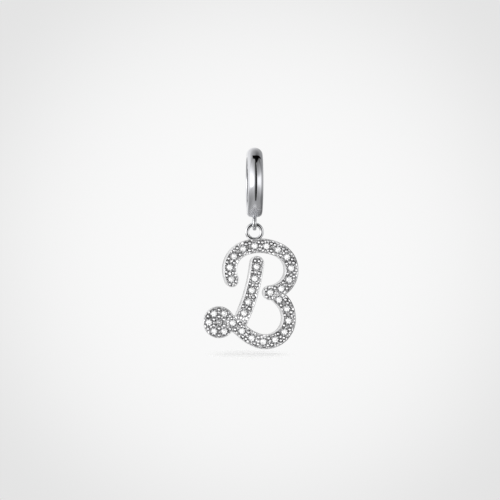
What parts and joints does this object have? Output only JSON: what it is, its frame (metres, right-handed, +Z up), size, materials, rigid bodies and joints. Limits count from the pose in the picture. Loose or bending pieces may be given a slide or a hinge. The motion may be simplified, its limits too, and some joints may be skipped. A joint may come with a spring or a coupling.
{
  "type": "initial pendant",
  "caption": "Small silver pendant: a script capital letter set with round clear stones between beads, swinging from a polished hoop bail that threads on a chain or a thin bangle.",
  "frame": {"origin": "the top of the bail's bore, where a chain or cord bears when the pendant hangs", "axes": "+X to the right across the letter and along the bail's bore, +Y to the back, +Z up along the hanging pendant"},
  "size_m": [0.0122, 0.009, 0.0259],
  "materials": {
    "polished_metal": "mirror-polished rhodium-plated silver",
    "set_metal": "polished rim and bead-set field of rhodium-plated silver",
    "clear_stone": "clear faceted cubic zirconia"
  },
  "bodies": {
    "bail": {"bail": "polished_metal"},
    "letter": {"letter": "set_metal", "upper_stone_01": "clear_stone", "upper_stone_02": "clear_stone", "upper_stone_03": "clear_stone", "upper_stone_04": "clear_stone", "upper_stone_05": "clear_stone", "upper_stone_06": "clear_stone", "upper_stone_07": "clear_stone", "upper_stone_08": "clear_stone", "upper_stone_09": "clear_stone", "upper_stone_10": "clear_stone", "upper_stone_11": "clear_stone", "upper_stone_12": "clear_stone", "lower_stone_01": "clear_stone", "lower_stone_02": "clear_stone", "lower_stone_03": "clear_stone", "lower_stone_04": "clear_stone", "lower_stone_05": "clear_stone", "lower_stone_06": "clear_stone", "lower_stone_07": "clear_stone", "lower_stone_08": "clear_stone", "lower_stone_09": "clear_stone", "stem_stone_01": "clear_stone", "stem_stone_02": "clear_stone", "stem_stone_03": "clear_stone", "stem_stone_04": "clear_stone", "stem_stone_05": "clear_stone", "disc_stone_01": "clear_stone", "disc_stone_02": "clear_stone", "disc_stone_03": "clear_stone", "disc_stone_04": "clear_stone", "disc_stone_05": "clear_stone", "disc_stone_06": "clear_stone"}
  },
  "joints": [
    {"name": "letter_swing", "type": "hinge", "parent": "bail", "child": "letter", "pos_m": [0, 0, -0.0087], "axis": [1, 0, 0], "range_deg": [-102, 102]}
  ]
}
